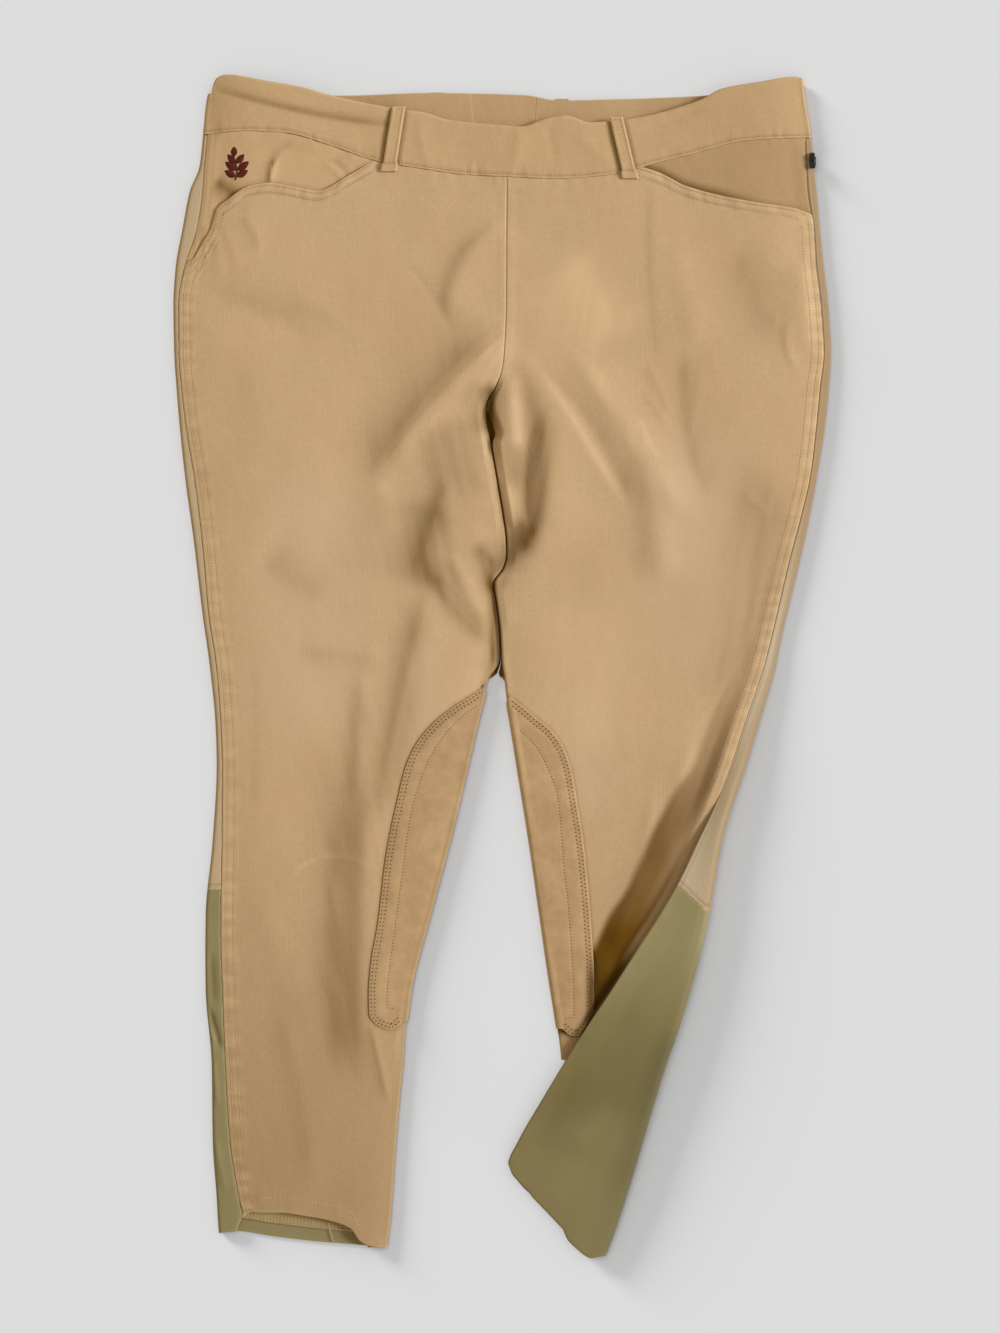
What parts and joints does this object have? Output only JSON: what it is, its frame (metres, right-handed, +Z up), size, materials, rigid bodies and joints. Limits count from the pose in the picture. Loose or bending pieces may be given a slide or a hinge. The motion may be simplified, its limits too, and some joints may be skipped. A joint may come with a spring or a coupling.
{
  "type": "riding breeches",
  "caption": "Stretch riding breeches laid flat with the front up, with a side zip, curved waistband, suede inner knee patches and one calf turned over its shin.",
  "frame": {"origin": "middle of the flat outline, on the surface the breeches lie on", "axes": "+X towards the wearer's left side seam, +Y from the hems up to the waist, +Z up out of the front"},
  "size_m": [0.527, 0.9456, 0.0158],
  "materials": {
    "stretch_cloth": "matt tan stretch cotton twill",
    "back_cloth": "matt tan stretch cotton twill, the side panels and seat",
    "calf_stretch": "matt olive fine-ribbed elastic knit",
    "suede": "tan suede with a brushed nap",
    "band_cloth": "matt tan stretch cotton twill, two layers",
    "hem_knit": "soft beige knitted elastic",
    "zip_metal": "black lacquer, half gloss"
  },
  "bodies": {
    "breeches": {"front_right": "stretch_cloth", "front_left": "stretch_cloth", "back_right": "back_cloth", "back_left": "back_cloth", "calf_right": "calf_stretch", "calf_left": "calf_stretch", "left_leg_inner_layers": "stretch_cloth", "knee_patch_right": "suede", "knee_patch_left": "suede", "pocket_facing_right": "band_cloth", "pocket_facing_left": "band_cloth", "waistband_front": "band_cloth", "waistband_back_right": "band_cloth", "waistband_back_centre": "band_cloth", "waistband_back_left": "band_cloth", "belt_loop_front_right": "band_cloth", "belt_loop_front_left": "band_cloth", "belt_loop_back_right": "band_cloth", "belt_loop_back_left": "band_cloth", "hem_facing_right": "hem_knit", "zip_slider": "zip_metal"},
    "zip_pull": {"zip_pull": "zip_metal"}
  },
  "joints": [
    {"name": "zip_pull_hinge", "type": "hinge", "parent": "breeches", "child": "zip_pull", "pos_m": [0.2484, 0.4064, 0.00765], "axis": [-1, 0, 0], "range_deg": [0, 150]}
  ]
}
